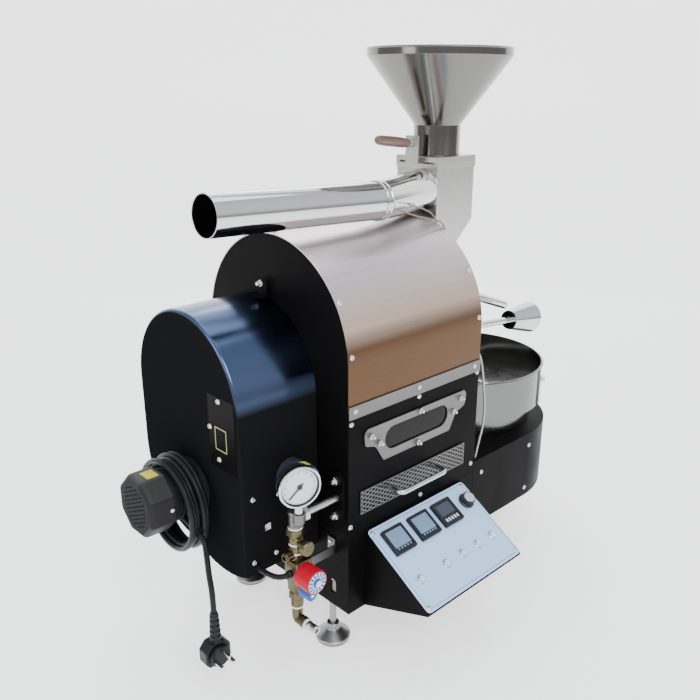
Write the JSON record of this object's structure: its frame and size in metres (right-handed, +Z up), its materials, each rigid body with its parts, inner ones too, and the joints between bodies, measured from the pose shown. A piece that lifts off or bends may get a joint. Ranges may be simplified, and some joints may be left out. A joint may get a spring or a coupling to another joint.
{
  "type": "coffee bean roaster",
  "caption": "Small drum coffee roaster: arched casing over a gas-fired drum, feed hopper, exhaust pipe, chain drive, stirred cooling tray and a sloping control panel.",
  "frame": {"origin": "on the table, under the middle of the machine's box, cord left out", "axes": "+X from the drive end to the cooling tray, +Y away from the control panel, +Z up"},
  "size_m": [0.9437, 0.5108, 0.995],
  "materials": {
    "black_paint": "satin black powder coat",
    "copper_sheet": "brushed copper-bronze sheet, lacquered",
    "steel_sheet": "brushed stainless sheet",
    "polished_steel": "polished stainless",
    "plate_steel": "dark coated steel plate",
    "drum_steel": "dark heat-tinted steel",
    "machined_steel": "machined steel",
    "glass_clear": "clear heat-proof glass",
    "motor_grey": "grey enamel",
    "cap_plastic": "black moulded plastic",
    "brass_bright": "turned brass",
    "red_coil": "red moulded coil",
    "gauge_black": "black bezel, white dial",
    "needle_black": "black needle",
    "wood_grip": "turned and oiled hardwood",
    "panel_light": "pale blue-grey panel",
    "instrument_plastic": "dark instrument cases with pale displays",
    "button_plastic": "coloured translucent caps",
    "knob_black": "black knob with silver cap",
    "screw_steel": "zinc-plated screws",
    "cord_black": "black flexible cord",
    "plug_black": "black moulded plug",
    "probe_braid": "steel braid",
    "chain_steel": "oiled chain steel"
  },
  "bodies": {
    "root": {"base_frame": "black_paint", "rear_plate": "plate_steel", "front_plate": "plate_steel", "copper_cover": "copper_sheet", "cover_strips": "steel_sheet", "side_panels": "black_paint", "window_frame": "steel_sheet", "window_glass": "glass_clear", "drum_bearings": "machined_steel", "burner": "drum_steel", "drive_cover": "black_paint", "gear_motor": "motor_grey", "motor_fan_cap": "motor_grey", "drive_chain": "chain_steel", "side_motor": "black_paint", "gauge_case": "gauge_black", "gas_manifold": "steel_sheet", "brass_fittings": "brass_bright", "solenoid_valve": "red_coil", "solenoid_cable": "cord_black", "chute": "steel_sheet", "chute_cap": "steel_sheet", "hopper": "polished_steel", "exhaust_pipe": "polished_steel", "sight_window": "glass_clear", "cooling_base": "black_paint", "cooling_tray": "steel_sheet", "tray_floor": "steel_sheet", "stirrer_motor": "motor_grey", "control_box": "black_paint", "control_panel": "panel_light", "panel_instruments": "instrument_plastic", "feet": "polished_steel", "fasteners": "screw_steel", "cord_gland": "cap_plastic", "cord_coil": "cord_black", "cord_tail": "cord_black", "mains_plug": "plug_black", "probe_cable": "probe_braid"},
    "drum_set": {"drum": "drum_steel", "drum_shaft": "machined_steel", "drum_sprocket": "machined_steel"},
    "motor_shaft": {"motor_sprocket": "machined_steel"},
    "stirrer": {"stirrer": "steel_sheet"},
    "fan": {"cooling_fan": "cap_plastic"},
    "gate": {"slide_gate": "steel_sheet", "gate_handle": "wood_grip"},
    "door": {"discharge_door": "plate_steel", "door_lever": "polished_steel"},
    "trier": {"trier": "polished_steel"},
    "drawer": {"drawer_front": "steel_sheet", "drawer_tray": "steel_sheet"},
    "outlet_gate": {"tray_gate": "steel_sheet"},
    "knob": {"knob": "knob_black"},
    "needle": {"gauge_needle": "needle_black"},
    "button_1": {"button_1": "button_plastic"},
    "button_2": {"button_2": "button_plastic"},
    "button_3": {"button_3": "button_plastic"},
    "button_4": {"button_4": "button_plastic"},
    "button_5": {"button_5": "button_plastic"}
  },
  "joints": [
    {"name": "drum_spin", "type": "hinge", "parent": "root", "child": "drum_set", "pos_m": [-0.2139, 0.06969, 0.53], "axis": [1, 0, 0], "continuous": true},
    {"name": "motor_spin", "type": "hinge", "parent": "root", "child": "motor_shaft", "pos_m": [-0.2689, 0.09969, 0.31], "axis": [1, 0, 0], "continuous": true},
    {"name": "stirrer_spin", "type": "hinge", "parent": "root", "child": "stirrer", "pos_m": [0.2891, 0.06969, 0.33], "axis": [0, 0, 1], "continuous": true},
    {"name": "fan_spin", "type": "hinge", "parent": "root", "child": "fan", "pos_m": [0.1911, 0.16169, 0.2], "axis": [0, 0, 1], "continuous": true},
    {"name": "gate_slide", "type": "slide", "parent": "root", "child": "gate", "axis": [-1, 0, 0], "range_m": [0, 0.084]},
    {"name": "door_lift", "type": "hinge", "parent": "root", "child": "door", "pos_m": [0.1221, 0.06969, 0.492], "axis": [0, -1, 0], "range_deg": [0, 45]},
    {"name": "trier_pull", "type": "slide", "parent": "root", "child": "trier", "axis": [0.9379, 0, -0.3469], "range_m": [0, 0.06]},
    {"name": "drawer_slide", "type": "slide", "parent": "root", "child": "drawer", "axis": [0, -1, 0], "range_m": [0, 0.14]},
    {"name": "outlet_lift", "type": "slide", "parent": "root", "child": "outlet_gate", "axis": [0, 0, 1], "range_m": [0, 0.03]},
    {"name": "knob_turn", "type": "hinge", "parent": "root", "child": "knob", "pos_m": [0.0449, -0.14736, 0.21713], "axis": [0, -0.518, 0.8554], "range_deg": [0, 300]},
    {"name": "needle_swing", "type": "hinge", "parent": "root", "child": "needle", "pos_m": [-0.313, -0.11224, 0.369], "axis": [0.2957, 0.9553, 0], "range_deg": [0, 270]},
    {"name": "button_1_press", "type": "slide", "parent": "root", "child": "button_1", "axis": [0, 0.518, -0.8554], "range_m": [0, 0.002], "stiffness_N_per_m": 400, "springref_m": -0.001},
    {"name": "button_2_press", "type": "slide", "parent": "root", "child": "button_2", "axis": [0, 0.518, -0.8554], "range_m": [0, 0.002], "stiffness_N_per_m": 400, "springref_m": -0.001},
    {"name": "button_3_press", "type": "slide", "parent": "root", "child": "button_3", "axis": [0, 0.518, -0.8554], "range_m": [0, 0.002], "stiffness_N_per_m": 400, "springref_m": -0.001},
    {"name": "button_4_press", "type": "slide", "parent": "root", "child": "button_4", "axis": [0, 0.518, -0.8554], "range_m": [0, 0.002], "stiffness_N_per_m": 400, "springref_m": -0.001},
    {"name": "button_5_press", "type": "slide", "parent": "root", "child": "button_5", "axis": [0, 0.518, -0.8554], "range_m": [0, 0.002], "stiffness_N_per_m": 400, "springref_m": -0.001}
  ],
  "couplings": [
    {"joint": "motor_spin", "follows": "drum_spin", "ratio": 2.8571}
  ]
}
